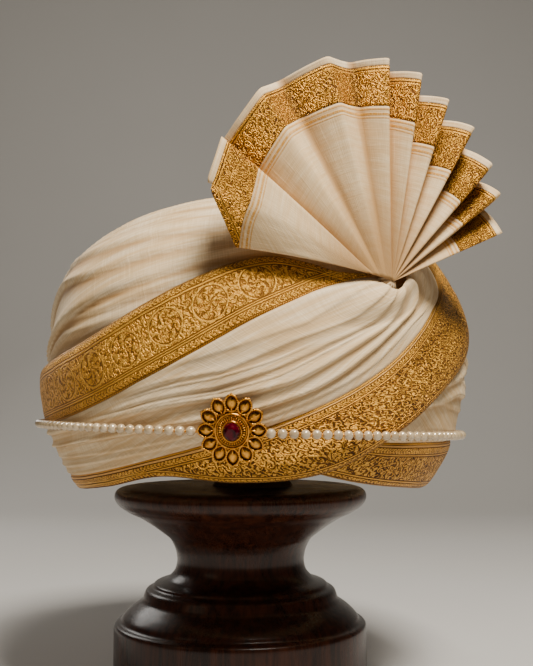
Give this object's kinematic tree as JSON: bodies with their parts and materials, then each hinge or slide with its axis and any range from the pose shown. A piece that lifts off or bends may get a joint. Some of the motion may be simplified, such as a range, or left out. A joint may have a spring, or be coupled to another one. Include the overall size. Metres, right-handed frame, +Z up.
{
  "type": "tied turban pagri on turned wooden stand",
  "caption": "Tied pagri turban with pleated crest, gold zari borders, pearl string and brooch, on a turned wooden display stand.",
  "frame": {"origin": "centre of the stand's base on the floor", "axes": "+Z up, -Y toward the turban's front, +X toward the viewer's right"},
  "size_m": [0.303, 0.3223, 0.3866],
  "materials": {
    "raw_silk": "matte raw silk",
    "gold_zari": "gold thread brocade",
    "pearl": "glossy nacre",
    "antique_gold": "polished antique gold",
    "ruby": "polished stone",
    "dark_walnut": "gloss varnish",
    "plain_wood": "plain matte wood"
  },
  "bodies": {
    "root": {"crown_wrap": "raw_silk", "wrap_panel": "raw_silk", "upper_border": "gold_zari", "lower_border": "gold_zari", "crest_field": "raw_silk", "crest_border": "gold_zari", "crest_selvedge": "raw_silk", "knot_tuck": "raw_silk", "pearl_string": "pearl", "brooch_setting": "antique_gold", "brooch_stone": "ruby", "stand_pedestal": "dark_walnut", "stand_post": "plain_wood"}
  },
  "joints": []
}
